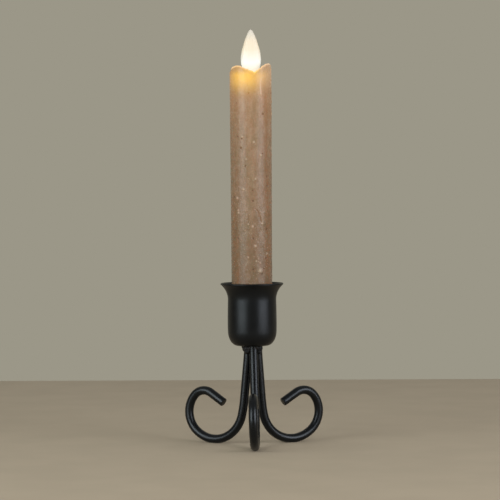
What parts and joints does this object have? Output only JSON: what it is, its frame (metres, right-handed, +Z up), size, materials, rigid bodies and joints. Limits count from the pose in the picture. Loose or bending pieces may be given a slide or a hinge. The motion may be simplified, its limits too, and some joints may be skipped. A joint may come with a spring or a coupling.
{
  "type": "taper candle holder",
  "caption": "Black wrought-style candle holder on scrolled rod legs, with a flared cup that holds a battery taper candle with a swaying flame.",
  "frame": {"origin": "on the surface that the three scroll feet rest on, at the middle of the object's box; the candle's axis stands 10.2 mm behind it, because three legs reach further forwards than backwards", "axes": "+Z up along the candle, +Y away from the one leg that points forwards, +X to the right of someone who faces that leg"},
  "size_m": [0.0752, 0.064, 0.2223],
  "materials": {
    "black_coat": "satin",
    "wax": "satin",
    "ivory_plastic": "satin",
    "milky_plastic": "satin",
    "plated_steel": "satin",
    "copper_wire": "satin",
    "board_green": "satin",
    "dark_plastic": "matte",
    "clear_epoxy": "gloss",
    "battery_jacket": "satin"
  },
  "bodies": {
    "holder": {"candle_cup": "black_coat", "weld_bead": "black_coat", "leg_front": "black_coat", "leg_right": "black_coat", "leg_left": "black_coat"},
    "candle": {"wax_sleeve": "wax", "core_tube": "ivory_plastic", "flame_cover": "wax", "pivot_wire": "plated_steel", "battery_lower": "battery_jacket", "battery_upper": "battery_jacket", "circuit_board": "board_green", "control_chip": "dark_plastic", "top_contact": "plated_steel", "contact_strip": "plated_steel", "drive_coil": "copper_wire", "coil_core": "plated_steel", "light": "clear_epoxy"},
    "flame_blade": {"flame": "milky_plastic", "flame_magnet": "plated_steel"},
    "cap": {"base_cap": "ivory_plastic", "switch_body": "dark_plastic", "spring_plate": "plated_steel", "battery_spring": "plated_steel"},
    "knob": {"switch_knob": "dark_plastic"}
  },
  "joints": [
    {"name": "candle_lift", "type": "slide", "parent": "holder", "child": "candle", "axis": [0, 0, 1], "range_m": [0, 0.04]},
    {"name": "flame_sway", "type": "hinge", "parent": "candle", "child": "flame_blade", "pos_m": [0, 0.01024, 0.1883], "axis": [1, 0, 0], "range_deg": [-6, 6]},
    {"name": "cap_twist", "type": "hinge", "parent": "candle", "child": "cap", "pos_m": [0, 0.01024, 0.0575], "axis": [0, 0, 1], "range_deg": [0, 40]},
    {"name": "switch_slide", "type": "slide", "parent": "cap", "child": "knob", "axis": [1, 0, 0], "range_m": [0, 0.003]}
  ]
}
